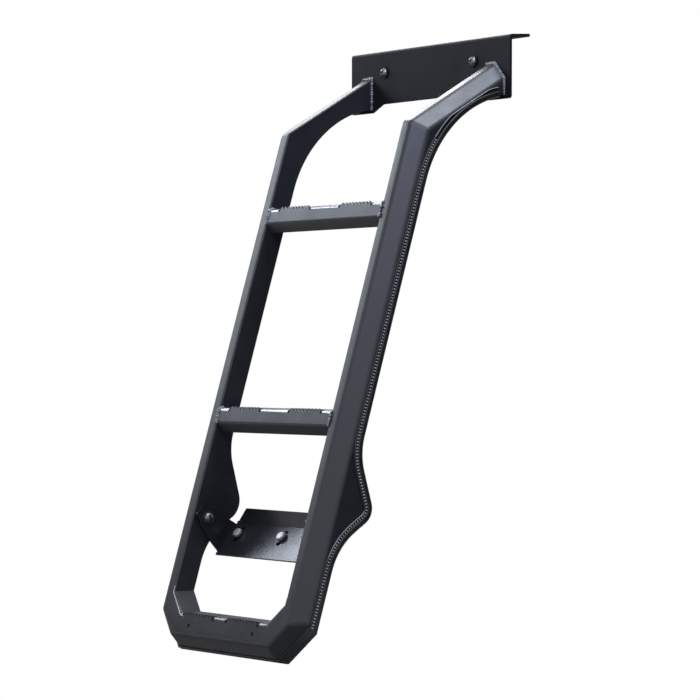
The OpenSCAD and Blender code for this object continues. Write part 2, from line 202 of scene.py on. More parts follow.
@dataclass(frozen=True)
class PowderCoat(Finish):
    """Fine-textured black powder coat over steel."""

    colour: Triple = (0.017, 0.0175, 0.022)
    drift: Triple = (0.024, 0.0245, 0.030)
    roughness: Pair = (0.36, 0.45)
    patches: Pair = (26.0, 4.0)
    grain: Triple = (900.0, 0.3, 0.12 * MM)
    clouds: Pair = (9.0, 3.0)
    peel: Triple = (220.0, 1.0, 0.2)


@dataclass(frozen=True)
class WeldBead(Finish):
    """Coated weld metal, smoother and shinier than the sheet beside it, with a lighter colour that paints in
    the sheen of its ripples.
    """

    colour: Triple = (0.13, 0.133, 0.146)
    drift: Triple = (0.247, 0.2527, 0.2774)
    roughness: Pair = (0.20, 0.38)
    patches: Pair = (420.0, 3.0)
    grain: Triple = (800.0, 0.5, 0.2 * MM)
    gloss: float = 0.9


@dataclass(frozen=True)
class Rubber(Finish):
    """Soft black rubber of the edge trim."""

    colour: Triple = (0.007, 0.007, 0.008)
    drift: Triple = (0.013, 0.013, 0.014)
    roughness: Pair = (0.37, 0.52)
    patches: Pair = (60.0, 4.0)
    grain: Triple = (1500.0, 0.3, 0.08 * MM)


@dataclass(frozen=True)
class BlackOxide(Finish):
    """Oiled black oxide on the roof bolts and the tilt bolts."""

    colour: Triple = (0.13, 0.13, 0.14)
    drift: Triple = (0.208, 0.208, 0.224)
    roughness: Pair = (0.18, 0.30)
    patches: Pair = (240.0, 3.0)
    grain: Triple = (1200.0, 0.06, 0.06 * MM)
    metallic: float = 0.9


@dataclass(frozen=True)
class Zinc(Finish):
    """Bright zinc plating on the bracket's bolts, and bright metal that paints highlights on the treads'
    folds.
    """

    colour: Triple = (0.76, 0.77, 0.79)
    drift: Triple = (0.532, 0.539, 0.553)
    roughness: Pair = (0.34, 0.50)
    patches: Pair = (300.0, 3.0)
    grain: Triple = (900.0, 0.2, 0.06 * MM)
    metallic: float = 0.3


def built(finish: Finish) -> Material:
    """Returns a field whose material is built with the set."""
    return field(default_factory=finish.material)


@dataclass
class Finishes:
    """Every finish, built once."""

    coat: Material = built(PowderCoat("satin_black_coat"))
    plate: Material = built(
        PowderCoat("plate_black_coat", (0.011, 0.011, 0.013), (0.015, 0.015, 0.017), (0.46, 0.55), gloss=0.08)
    )
    bracket: Material = built(
        PowderCoat(
            "bracket_black_coat",
            drift=(0.026, 0.0265, 0.032),
            roughness=(0.24, 0.33),
            grain=(620.0, 0.3, 0.16 * MM),
        )
    )
    # Bright metal on the treads' folds that face up and forward: a painted highlight.
    fold_highlight: Material = built(
        Zinc("tread_fold_highlight", (0.34, 0.34, 0.36), (0.238, 0.238, 0.252), (0.28, 0.44), metallic=0.8)
    )
    # A light grey line along the corner plates' seams: painted highlight.
    seam: Material = built(
        WeldBead(
            "seam_painted_highlight", (0.34, 0.34, 0.36), (0.646, 0.646, 0.684), gloss=1.0, grain=(800.0, 0.2, 0.2 * MM)
        )
    )
    # Weld beads lighter than the coat: painted sheen.
    weld: Material = built(WeldBead("coated_weld_painted_sheen"))
    rubber: Material = built(Rubber("trim_rubber"))
    # Light grey for the trim's ribs and the line on its lip: painted highlights on black rubber.
    rib: Material = built(Rubber("trim_rib_painted_highlight", (0.42, 0.42, 0.43), (0.52, 0.52, 0.53), (0.17, 0.32)))
    oxide: Material = built(BlackOxide("black_oxide"))
    zinc: Material = built(Zinc("bright_zinc"))


# Mesh tools


def spot(x: float, flat: Vector) -> Vector:
    """Returns the point at X on a (Y, Z) plane."""
    return Vector((x, flat.x, flat.y))


def sided(point: Vector, side: int) -> Vector:
    """Returns a point or a way as it is for side 1, and its mirror image for side -1."""
    return Vector((side * point.x, point.y, point.z))


def linked(name: str, data: bpy.types.ID) -> Object:
    """Links data to the scene as an object at the origin.

    Args:
        name: The object's name.
        data: A mesh, light, camera or curve.

    Returns:
        The object.
    """
    made = bpy.data.objects.new(name, data)
    bpy.context.scene.collection.objects.link(made)
    return made


def solid(name: str, shape: Shape) -> Object:
    """Makes a finished shape an object at the origin, and frees it.

    Args:
        name: The piece's name.
        shape: The shape.

    Returns:
        The piece.
    """
    mesh = bpy.data.meshes.new(name)
    shape.to_mesh(mesh)
    shape.free()
    return linked(name, mesh)


def settled(made: Object) -> Object:
    """Replaces an object's mesh by its evaluated one and removes its modifiers.

    Args:
        made: The object.

    Returns:
        The same object.
    """
    graph = bpy.context.evaluated_depsgraph_get()
    mesh = bpy.data.meshes.new_from_object(
        made.evaluated_get(graph), preserve_all_data_layers=True, depsgraph=graph
    )
    made.modifiers.clear()
    old = made.data
    made.data = mesh
    bpy.data.meshes.remove(old)
    mesh.name = made.name
    return made


def node_copy(name: str, node: str) -> Object:
    """Copies a CAD node into a merged mesh with its flat faces whole.

    Args:
        name: The new piece's name.
        node: The CAD node.

    Returns:
        The piece.
    """
    shape = bmesh.new()
    shape.from_mesh(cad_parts[node].data)
    bmesh.ops.remove_doubles(shape, verts=shape.verts, dist=0.002 * MM)
    bmesh.ops.dissolve_limit(shape, angle_limit=math.radians(0.6), verts=shape.verts, edges=shape.edges)
    return solid(name, shape)


def cut_away(made: Object, cutters: Shape) -> None:
    """Cuts a shape out of a piece, and frees the shape.

    Args:
        made: The piece.
        cutters: The shape to cut out.
    """
    tool = solid("cutters", cutters)
    cut = made.modifiers.new("cut", "BOOLEAN")
    cut.operation, cut.solver, cut.object = "DIFFERENCE", "EXACT", tool
    settled(made)
    bpy.data.objects.remove(tool)


def loft(shape: Shape, rings: Runs) -> None:
    """Adds a closed skin through rings of as many points each.

    Args:
        shape: The shape to add it to.
        rings: The rings' points, in order.
    """
    lines = [[shape.verts.new(point) for point in ring] for ring in rings]
    for first, second in zip(lines, lines[1:]):
        for i in range(len(first)):
            j = (i + 1) % len(first)
            shape.faces.new((first[i], first[j], second[j], second[i]))
    shape.faces.new(lines[0])
    shape.faces.new(lines[-1])
    bmesh.ops.recalc_face_normals(shape, faces=shape.faces)


def guides(name: str, runs: Sequence[Sequence[tuple[Vector, Vector]]]) -> Object:
    """Makes the lines that a Repeater follows.

    Args:
        name: The piece's name.
        runs: Each line's points, each with its way out of the wall.

    Returns:
        The lines, with the ways in the attribute "outward".
    """
    shape = bmesh.new()
    layer = shape.verts.layers.float_vector.new("outward")
    for run in runs:
        verts = [shape.verts.new(point) for point, _ in run]
        for vert, (_, out) in zip(verts, run):
            vert[layer] = out
        for pair in zip(verts, verts[1:]):
            shape.edges.new(pair)
    return solid(name, shape)


def shade(made: Object, sharpest: float = 38.0) -> Object:
    """Marks a piece's sharp edges and shades the rest smooth.

    Args:
        made: The piece.
        sharpest: The turn from which an edge is sharp, in degrees.

    Returns:
        The same piece.
    """
    shape = bmesh.new()
    shape.from_mesh(made.data)
    for edge in shape.edges:
        edge.smooth = len(edge.link_faces) == 2 and math.degrees(edge.calc_face_angle(0.0)) < sharpest
    shape.to_mesh(made.data)
    shape.free()
    for face in made.data.polygons:
        face.use_smooth = True
    return made


@dataclass(frozen=True)
class EdgeRounding:
    """How far a sheet part's folds and cut edges are rounded.

    A face's width is taken as twice its area over its perimeter, and turns are in degrees.
    """

    fold: float = 4.6 * MM
    cut: float = 0.4 * MM
    shortest: float = 2.6 * MM
    steps: int = 3
    flattest: float = 14.0
    cut_face: float = 2.976 * MM
    cut_turn: float = 60.0
    narrow_face: float = 6.6 * MM
    narrow_turn: float = 84.0
    tight_turn: float = 80.0
    tight: float = 0.55

    def weight(self, edge: bmesh.types.BMEdge) -> float:
        """Weighs an edge.

        Args:
            edge: The edge.

        Returns:
            How much of the fold's radius it takes, from 0 to 1.
        """
        if len(edge.link_faces) != 2 or edge.calc_length() < self.shortest or not edge.is_convex:
            return 0.0
        turn = math.degrees(edge.calc_face_angle(0.0))
        if turn < self.flattest:
            return 0.0
        width = min(2.0 * f.calc_area() / max(f.calc_perimeter(), 1e-9) for f in edge.link_faces)
        cut_edge = width < self.cut_face and turn > self.cut_turn
        if cut_edge or width < self.narrow_face and turn > self.narrow_turn:
            return self.cut / self.fold
        return 1.0 if turn < self.tight_turn else self.tight

    def apply(self, made: Object) -> Object:
        """Rounds a piece's edges and smooths its shading.

        Args:
            made: The piece.

        Returns:
            The same piece.
        """
        shape = bmesh.new()
        shape.from_mesh(made.data)
        layers = shape.edges.layers.float
        layer = layers.get("bevel_weight_edge") or layers.new("bevel_weight_edge")
        for edge in shape.edges:
            edge[layer] = self.weight(edge)
        shape.to_mesh(made.data)
        shape.free()
        rounding = made.modifiers.new("rounding", "BEVEL")
        rounding.limit_method = "WEIGHT"
        rounding.width = self.fold
        rounding.segments = self.steps
        rounding.use_clamp_overlap = False
        rounding.miter_outer = "MITER_ARC"
        rounding.loop_slide = False
        settled(made)
        shade(made)
        flat = made.modifiers.new("flat_faces", "WEIGHTED_NORMAL")
        flat.weight = 100
        flat.keep_sharp = True
        return settled(made)


def dress(made: Object, finish: Material, slot: Slot, *nodes: str, body: Body = Body.LADDER) -> None:
    """Gives a piece its finish and body.

    Args:
        made: The piece.
        finish: Its material, unless it wears it already.
        slot: Not used.
        nodes: The CAD nodes it stands for.
        body: The body it rides on.
    """
    if finish.name not in [m.name for m in made.data.materials if m]:
        made.data.materials.clear()
        made.data.materials.append(finish)
    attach(made, body.value)
    if nodes:
        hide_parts(*nodes)
    LOG.info("%s: %d faces on %s", made.name, len(made.data.polygons), body.value)


def dress_hardware(
    node: str, rounding: EdgeRounding, finish: Material, slot: Slot, body: Body = Body.LADDER
) -> None:
    """Rounds the edges of one bolt, nut, washer or spacer and dresses it."""
    dress(rounding.apply(node_copy(f"{node}_turned", node)), finish, slot, node, body=body)


def tube(name: str, runs: Runs, radius: float) -> Object:
    """Draws round beads along runs of points.

    Args:
        name: The piece's name.
        runs: The beads' centre lines.
        radius: The beads' radius.

    Returns:
        The beads as one mesh.
    """
    line = bpy.data.curves.new(name, "CURVE")
    line.dimensions = "3D"
    line.bevel_depth, line.bevel_resolution, line.use_fill_caps = radius, 3, True
    for points in runs:
        run = line.splines.new("POLY")
        run.points.add(len(points) - 1)
        for place, point in zip(run.points, points):
            place.co = (*point, 1.0)
    drawn = linked("drawn", line)
    graph = bpy.context.evaluated_depsgraph_get()
    mesh = bpy.data.meshes.new_from_object(drawn.evaluated_get(graph))
    bpy.data.objects.remove(drawn)
    bpy.data.curves.remove(line)
    return shade(linked(name, mesh), 60.0)


def flat_fillet(before: Vector, corner: Vector, after: Vector, radius: float, steps: int = 14) -> Plane:
    """Rounds one corner of a flat outline.

    Args:
        before: The outline's point before the corner.
        corner: The corner.
        after: The point after it.
        radius: Radius of the arc.
        steps: Chords in the arc.

    Returns:
        The arc's points.
    """
    u, v = (before - corner).normalized(), (after - corner).normalized()
    half = math.acos(max(-1.0, min(1.0, u.dot(v)))) / 2
    centre = corner + (u + v).normalized() * (radius / math.sin(half))
    tangent = radius / math.tan(half)
    first, last = corner + u * tangent - centre, corner + v * tangent - centre
    start = math.atan2(first.y, first.x)
    sweep = (math.atan2(last.y, last.x) - start + math.pi) % math.tau - math.pi
    angles = [start + sweep * i / steps for i in range(steps + 1)]
    return [centre + radius * Vector((math.cos(a), math.sin(a))) for a in angles]


# Stiles, treads, plate and bracket


@dataclass
class StilePlan:
    """Sizes of a stile and points on it, in its (Y, Z) plane.

    A depth w is measured back from the front face, and s down the stile from its bend.
    """

    lean: float = math.radians(17.15)
    rise: float = math.radians(29.9)
    bend: Vector = field(default_factory=lambda: Vector((-158.2, -82.3)) * MM)
    inner: float = 131.0 * MM
    crease: float = 148.5 * MM
    outer: float = 168.0 * MM
    bevel: float = 19.5 * MM
    depth: float = 33.5 * MM
    plate: float = -4.0 * MM
    arc: float = 183.0 * MM
    arc_down: float = 77.0 * MM
    bulge: tuple[float, ...] = (467.6 * MM, 539.6 * MM, 596.3 * MM, 47.1 * MM)
    bulge_radii: Pair = (85.0 * MM, 95.0 * MM)
    inner_drop: float = 5.0 * MM
    inner_nose: float = 30.0 * MM
    tips: Triple = (115.0 * MM, 414.4 * MM, 713.8 * MM)
    lip: float = 718.4 * MM
    low_crease: float = 746.2 * MM
    corner: float = 32.0 * MM
    flare: float = 20.1 * MM
    low: float = 759.4 * MM
    s_inner: float = 687.4 * MM
    x_inner: float = 100.0 * MM

    def __post_init__(self) -> None:
        """Works out the stile's directions."""
        self.back_way = Vector((math.cos(self.lean), -math.sin(self.lean)))
        self.down_way = Vector((-math.sin(self.lean), -math.cos(self.lean)))
        self.arm_back = Vector((math.sin(self.rise), -math.cos(self.rise)))
        self.turn = math.pi / 2 - self.lean - self.rise
        self.s_corner = self.low_crease - self.corner
        self.slope = self.flare / self.depth
        self.fall = math.tan(self.lean)

    def cut(self, w: float) -> float:
        """Returns X + s of the outer corner's facet at depth w."""
        return self.crease + self.s_corner + self.slope * w

    def at(self, w: float, s: float) -> Vector:
        """Returns the point w behind the front face and s down from the bend."""
        return self.bend + w * self.back_way + s * self.down_way

    def on(self, x: float, w: float, s: float) -> Vector:
        """Returns the same point in space, at X."""
        return spot(x, self.at(w, s))

    def mitre(self, w: float) -> Vector:
        """Returns where the arm's and the stile's lines at depth w meet."""
        return self.bend + (w / (1 + math.cos(self.turn))) * (self.back_way + self.arm_back)

    def arm(self, w: float, y: float) -> Vector:
        """Returns the arm's point at depth w and a given Y."""
        corner = self.mitre(w)
        return Vector((y, corner.y + (y - corner.x) * math.tan(self.rise)))

    def back(self, y: float, s: float, steps: int = 44, drop: float = 0.0, nose: float = 22.0 * MM) -> Plane:
        """Returns a side plate's back edge: the arm's arc, then the bulge.

        Args:
            y: Where the edge starts, near the mounting plate.
            s: Where it ends, down the stile.
            steps: Chords in the arm's arc.
            drop: How far the bulge's peak and end are lowered.
            nose: Radius of the bulge's peak.

        Returns:
            The edge's points.
        """
        centre = self.at(self.depth + self.arc, self.arc_down)
        first = math.acos((centre.x - y) / self.arc)
        angles = [first + (self.lean - first) * i / steps for i in range(steps + 1)]
        arc = [centre + self.arc * Vector((-math.cos(a), math.sin(a))) for a in angles]
        w = self.depth
        start, peak, end, out = self.bulge
        corners = [Vector(p) for p in ((w, 0.0), (w, start), (w + out, peak + drop), (w, end + drop), (w, s))]
        hollow, foot = self.bulge_radii
        flat = []
        for i, radius in enumerate((hollow, nose, foot)):
            flat += flat_fillet(*corners[i:i + 3], radius)
        return arc + [self.at(p.x, p.y) for p in (*flat, corners[-1])]


@dataclass
class OuterFrame:
    """Both stiles, their arms and the bottom, one sheet of folded steel."""

    plan: StilePlan
    finishes: Finishes
    sheet: float = 3.0 * MM
    strip_start: float = 18.2 * MM
    shift: float = -7.3 * MM
    pitch: float = 7.6 * MM
    teeth: int = 9
    tooth: float = 4.6 * MM
    tooth_shape: tuple[Pair, ...] = ((0.06, 0.0), (0.3, 1.0), (0.6, 1.0), (0.9, 0.0))
    notch: Pair = (4.6 * MM, 4.0 * MM)
    notch_shape: tuple[Pair, ...] = ((0.0, 0.0), (0.1, 1.0), (0.9, 1.0), (1.0, 0.0))
    notch_gap: float = 0.3 * MM
    drain_at: float = 75.0 * MM
    drain: float = 2.9 * MM
    # Rings of the dark discs that paint shade in the drain holes, as scale and depth.
    hole_shade_profile: tuple[Pair, ...] = ((0.3, 2.0), (0.8, 1.9), (1.0, 1.6), (1.0, 2.9), (0.4, 3.1))
    round_steps: int = 24

    def lip_line(self) -> list[Pair]:
        """Draws the toothed upper edge of the bottom's front face.

        Returns:
            The edge's points from left to right, as (X, s).
        """
        plan = self.plan
        wide, deep = self.notch
        half = []
        for i in range(self.teeth):
            start = self.strip_start + i * self.pitch
            half += [(start + x * self.pitch, plan.lip - up * self.tooth) for x, up in self.tooth_shape]
        strip_end = self.strip_start + self.teeth * self.pitch
        for edge in (self.strip_start - self.notch_gap - wide, strip_end + self.notch_gap):
            half += [(edge + x * wide, plan.lip + down * deep) for x, down in self.notch_shape]
        strips = [(self.shift + side * x, s) for x, s in half for side in (1, -1)]
        return sorted([(-plan.x_inner, plan.lip), (plan.x_inner, plan.lip), *strips])

    def shell(self) -> Object:
        """Builds the outer skin and gives it the sheet's thickness.

        Returns:
            The frame.
        """
        plan = self.plan
        shape = bmesh.new()
        known: dict[tuple[int, ...], bmesh.types.BMVert] = {}

        def corner(point: Vector) -> bmesh.types.BMVert:
            """Finds or makes a vertex.

            Args:
                point: Where it is.

            Returns:
                The one vertex there.
            """
            key = tuple(round(c * 1e6) for c in point)
            if key not in known:
                known[key] = shape.verts.new(point)
            return known[key]

        def face(*points: Vector, sides: tuple[int, ...] = (1, -1)) -> None:
            """Adds a face and its mirror image, or a face across the middle for one side.

            Args:
                points: The face's corners.
                sides: 1 for the face as given, -1 for its mirror image.
            """
            for side in sides:
                ring = [corner(sided(p, side)) for p in points]
                ring = [v for i, v in enumerate(ring) if v is not ring[i - 1]]
                if shape.faces.get(ring) is None:
                    shape.faces.new(ring[::side])

        def across(*points: Vector) -> None:
            """Adds a face whose left half mirrors its right half's points."""
            face(*points, *(sided(p, -1) for p in reversed(points)), sides=(1,))

        d, b, end = plan.depth, plan.bevel, plan.plate
        fall = plan.fall * d
        inner_back = plan.back(end, plan.s_inner - fall, drop=plan.inner_drop, nose=plan.inner_nose)
        outer_back = plan.back(end, plan.cut(d) - plan.outer)
        side_front, side_back = (plan.on(plan.outer, w, plan.cut(w) - plan.outer) for w in (b, d))
        low_front, low_back = (plan.on(plan.cut(w) - plan.low, w, plan.low) for w in (b, d))
        kink = plan.on(plan.crease, 0, plan.s_corner)
        low_kink = plan.on(plan.crease + plan.s_corner - plan.low_crease, 0, plan.low_crease)
        inner_end = plan.on(plan.inner, 0, plan.s_inner)
        crease_end = plan.on(plan.crease, 0, plan.s_inner)
        lip_end = plan.on(plan.x_inner, 0, plan.lip)
        under_lip = plan.on(plan.x_inner, 0, plan.low_crease)
        inner_bend, crease_bend = spot(plan.inner, plan.bend), spot(plan.crease, plan.bend)
        inner_arm, crease_arm = (spot(x, plan.arm(0, end)) for x in (plan.inner, plan.crease))
        outer_bend, outer_arm = spot(plan.outer, plan.mitre(b)), spot(plan.outer, plan.arm(b, end))
        # inner plate, level at its lower end, and the slanted corner plate
        face(inner_arm, inner_bend, inner_end, *(spot(plan.inner, p) for p in reversed(inner_back)))
        corner_back = plan.on(plan.x_inner, d, plan.lip - fall), plan.on(plan.inner, d, plan.s_inner - fall)
        face(lip_end, *corner_back, inner_end)
        # front faces
        face(inner_arm, inner_bend, crease_bend, crease_arm)
        face(inner_bend, inner_end, crease_end, crease_bend)
        face(inner_end, lip_end, under_lip, low_kink, kink, crease_end)
        toothed = [plan.on(x, 0, s) for x, s in self.lip_line()]
        face(*toothed, under_lip, sided(under_lip, -1), sides=(1,))
        # bevels
        face(crease_arm, crease_bend, outer_bend, outer_arm)
        face(crease_bend, crease_end, kink, side_front, outer_bend)
        face(kink, low_kink, low_front, low_back, side_back, side_front)
        across(low_front, low_kink, under_lip)
        # outer walls
        face(outer_arm, outer_bend, side_front, *(spot(plan.outer, p) for p in reversed(outer_back)))
        across(low_back, low_front)
        bmesh.ops.recalc_face_normals(shape, faces=shape.faces)
        walls = [f for f in shape.faces if abs(f.normal.x) > 0.9 and f.calc_center_median().x > plan.crease]
        if max(walls, key=lambda f: f.calc_area()).normal.x < 0:
            bmesh.ops.reverse_faces(shape, faces=shape.faces)
        made = solid("stile_frame", shape)
        wall = made.modifiers.new("sheet", "SOLIDIFY")
        wall.thickness = self.sheet
        wall.offset = -1.0
        wall.use_even_offset = True
        wall.use_quality_normals = True
        return settled(made)

    def drains(self) -> list[Matrix]:
        """Sets out the drain holes of the bottom's front face.

        Returns:
            Their places, with Z out of the face.
        """
        plan = self.plan
        s = 0.5 * (plan.lip + plan.low_crease)
        spin = Matrix.Rotation(math.pi / 2 - plan.lean, 4, "X")
        return [Matrix.Translation(plan.on(side * self.drain_at, 0, s)) @ spin for side in (1, -1)]

    def drill(self, made: Object) -> None:
        """Cuts the two drain holes in the bottom's front face.

        Args:
            made: The frame.
        """
        shape = bmesh.new()
        for place in self.drains():
            bmesh.ops.create_cone(
                shape, cap_ends=True, segments=self.round_steps, radius1=self.drain, radius2=self.drain,
                depth=4 * self.sheet, matrix=place,
            )
        cut_away(made, shape)

    def hole_shades(self) -> Object:
        """Makes two recessed dark discs in the drain holes, painted shade inside them.

        Returns:
            The discs.
        """
        shape = bmesh.new()
        angles = [math.tau * i / self.round_steps for i in range(self.round_steps)]
        circle = [Vector((self.drain * math.cos(a), self.drain * math.sin(a), 0.0)) for a in angles]
        for place in self.drains():
            rings = [(out, place @ Matrix.Translation((0, 0, -deep * MM))) for out, deep in self.hole_shade_profile]
            loft(shape, [[ring @ (out * p) for p in circle] for out, ring in rings])
        return shade(solid("drain_hole_shades", shape), 50.0)

    def build(self) -> None:
        """Makes the folded frame and the dark discs of painted shade in its drain holes, and dresses them."""
        dress(self.hole_shades(), self.finishes.rubber, Slot.TRIM)
        made = self.shell()
        self.drill(made)
        EdgeRounding().apply(made)
        kinds = ("inner_plate", "outer_plate", "stile_fold", "arm_fold", "corner_shell", "corner_plate")
        nodes = ["bottom_shell"] + [f"{side}_{kind}" for side in SIDES for kind in kinds]
        dress(made, self.finishes.coat, Slot.COAT, *nodes)


@dataclass
class Treads:
    """The two rungs and the bottom step.

    A strip is given as the tread's middle, then the teeth's start and end from there.
    """

    plan: StilePlan
    finishes: Finishes
    rounding: EdgeRounding = EdgeRounding(fold=2.2 * MM, cut=0.35 * MM)
    rung_strip: Triple = (0.0, 36.2 * MM, 104.6 * MM)
    step_strip: Triple = (-7.3 * MM, 18.2 * MM, 86.6 * MM)
    notch: Triple = (4.6 * MM, 7.0 * MM, 8.6 * MM)
    notch_gap: float = 0.3 * MM
    notch_at: float = 2.5 * MM
    notch_over: float = 1.5 * MM
    highlight_way: Triple = (0.0, -0.75, 0.66)
    flank: float = 30.0 * MM * MM

    def relieve(self, made: Object, tip: float, strip: Triple) -> None:
        """Cuts the relief notches beside a tread's two strips of teeth.

        Args:
            made: The tread.
            tip: Where the teeth end, down the stile.
            strip: Where the teeth stand.
        """
        wide, through, deep = self.notch
        middle, start, end = strip
        shape = bmesh.new()
        for side in (1, -1):
            for x in (start - self.notch_gap - wide / 2, end + self.notch_gap + wide / 2):
                for vert in bmesh.ops.create_cube(shape, size=1.0)["verts"]:
                    w = self.notch_at + through * vert.co.y
                    s = tip - self.notch_over + deep * (vert.co.z + 0.5)
                    vert.co = self.plan.on(middle + side * x + wide * vert.co.x, w, s)
        bmesh.ops.recalc_face_normals(shape, faces=shape.faces)
        cut_away(made, shape)

    def paint_fold_highlights(self, made: Object) -> None:
        """Gives the folds between the teeth, and the teeth's flanks, that face up and forward a bright metal
        finish, a painted highlight.

        Args:
            made: The tread.
        """
        made.data.materials.append(self.finishes.coat)
        made.data.materials.append(self.finishes.fold_highlight)
        # Folds and flanks turned up and forward, towards the lights, get the bright metal: painted
        # highlights.
        way = Vector(self.highlight_way).normalized()
        for face in made.data.polygons:
            toward, sideways = face.normal.dot(way), abs(face.normal.x)
            fold = sideways < 0.25 and toward > 0.93
            if fold or sideways > 0.3 and 0.6 < toward < 0.93 and face.area < self.flank:
                face.material_index = 1

    def build(self) -> None:
        """Softens each tread's folds and dresses it."""
        strips = (self.rung_strip, self.rung_strip, self.step_strip)
        for node, tip, strip in zip(("upper_rung", "lower_rung", "bottom_step"), self.plan.tips, strips):
            made = node_copy(f"{node}_sheet", node)
            self.relieve(made, tip, strip)
            self.rounding.apply(made)
            self.paint_fold_highlights(made)
            dress(made, self.finishes.coat, Slot.COAT, node)


SMALL_EDGE = EdgeRounding(fold=0.3 * MM, cut=0.3 * MM, shortest=0.2 * MM, steps=2)


@dataclass
class MountingPlate:
    """The upper plate with its rear flange, and its bolts."""

    finishes: Finishes
    rounding: EdgeRounding = EdgeRounding(fold=0.5 * MM, cut=0.5 * MM, shortest=1.0 * MM, steps=2)

    def build(self) -> None:
        """Softens the plate's edges and dresses its bolts and washers."""
        made = self.rounding.apply(node_copy("mounting_plate", "top_plate"))
        dress(made, self.finishes.plate, Slot.COAT, "top_plate")
        for side in SIDES:
            for kind, finish in (("bolt", self.finishes.oxide), ("washer", self.finishes.plate)):
                dress_hardware(f"{side}_roof_{kind}", SMALL_EDGE, finish, Slot.BLACK)


@dataclass
class LowerBracket:
    """The tilting bracket, a dark sheet under its base plate that paints shade into its slots, its base bolts
    and its tilt bolts.

    The sheet's measures are from the pivot, along the slope of the base plate and below it.
    """

    finishes: Finishes
    pivot: Triple = (0.0, -304.47 * MM, -636.0 * MM)
    slope: float = math.radians(47.9)
    under: float = 47.0 * MM
    thick: float = 1.6 * MM
    length: float = 53.0 * MM
    forward: float = 2.4 * MM
    inset: float = 3.0 * MM
    rounding: EdgeRounding = EdgeRounding(fold=0.6 * MM, steps=2)
    domed: EdgeRounding = EdgeRounding(fold=1.7 * MM, cut=1.7 * MM, shortest=0.2 * MM)

    def slot_shade(self, width: float) -> Object:
        """Lays a thin dark sheet under the base plate, painted shade that shows in its slots.

        Args:
            width: The sheet's width.

        Returns:
            The sheet.
        """
        shape = bmesh.new()
        slab = Matrix.Diagonal((width, self.length, self.thick, 1.0))
        below = Matrix.Translation((0.0, -self.forward, -self.under - self.thick / 2.0))
        turned = Matrix.Translation(self.pivot) @ Matrix.Rotation(self.slope, 4, "X")
        bmesh.ops.create_cube(shape, size=1.0, matrix=turned @ below @ slab)
        return solid("bracket_slot_shade", shape)

    def build(self) -> None:
        """Softens the bracket's edges and dresses the hardware."""
        finishes = self.finishes
        made = self.rounding.apply(node_copy("tilt_bracket", "lower_bracket"))
        width = made.dimensions.x - 2.0 * self.inset
        tilting = Body.BRACKET
        dress(made, finishes.bracket, Slot.COAT, "lower_bracket", body=tilting)
        # The dark sheet paints shade into the base plate's slots.
        dress(self.slot_shade(width), finishes.rubber, Slot.TRIM, body=tilting)
        for place in ("left", "middle", "right"):
            dress_hardware(f"{place}_bracket_bolt", self.domed, finishes.zinc, Slot.ZINC, tilting)
            dress_hardware(f"{place}_bracket_washer", SMALL_EDGE, finishes.bracket, Slot.BLACK, tilting)
        for side in SIDES:
            for kind in ("bolt", "nut", "spacer"):
                dress_hardware(f"{side}_tilt_{kind}", SMALL_EDGE, finishes.oxide, Slot.ZINC)


# Edge trim and welds


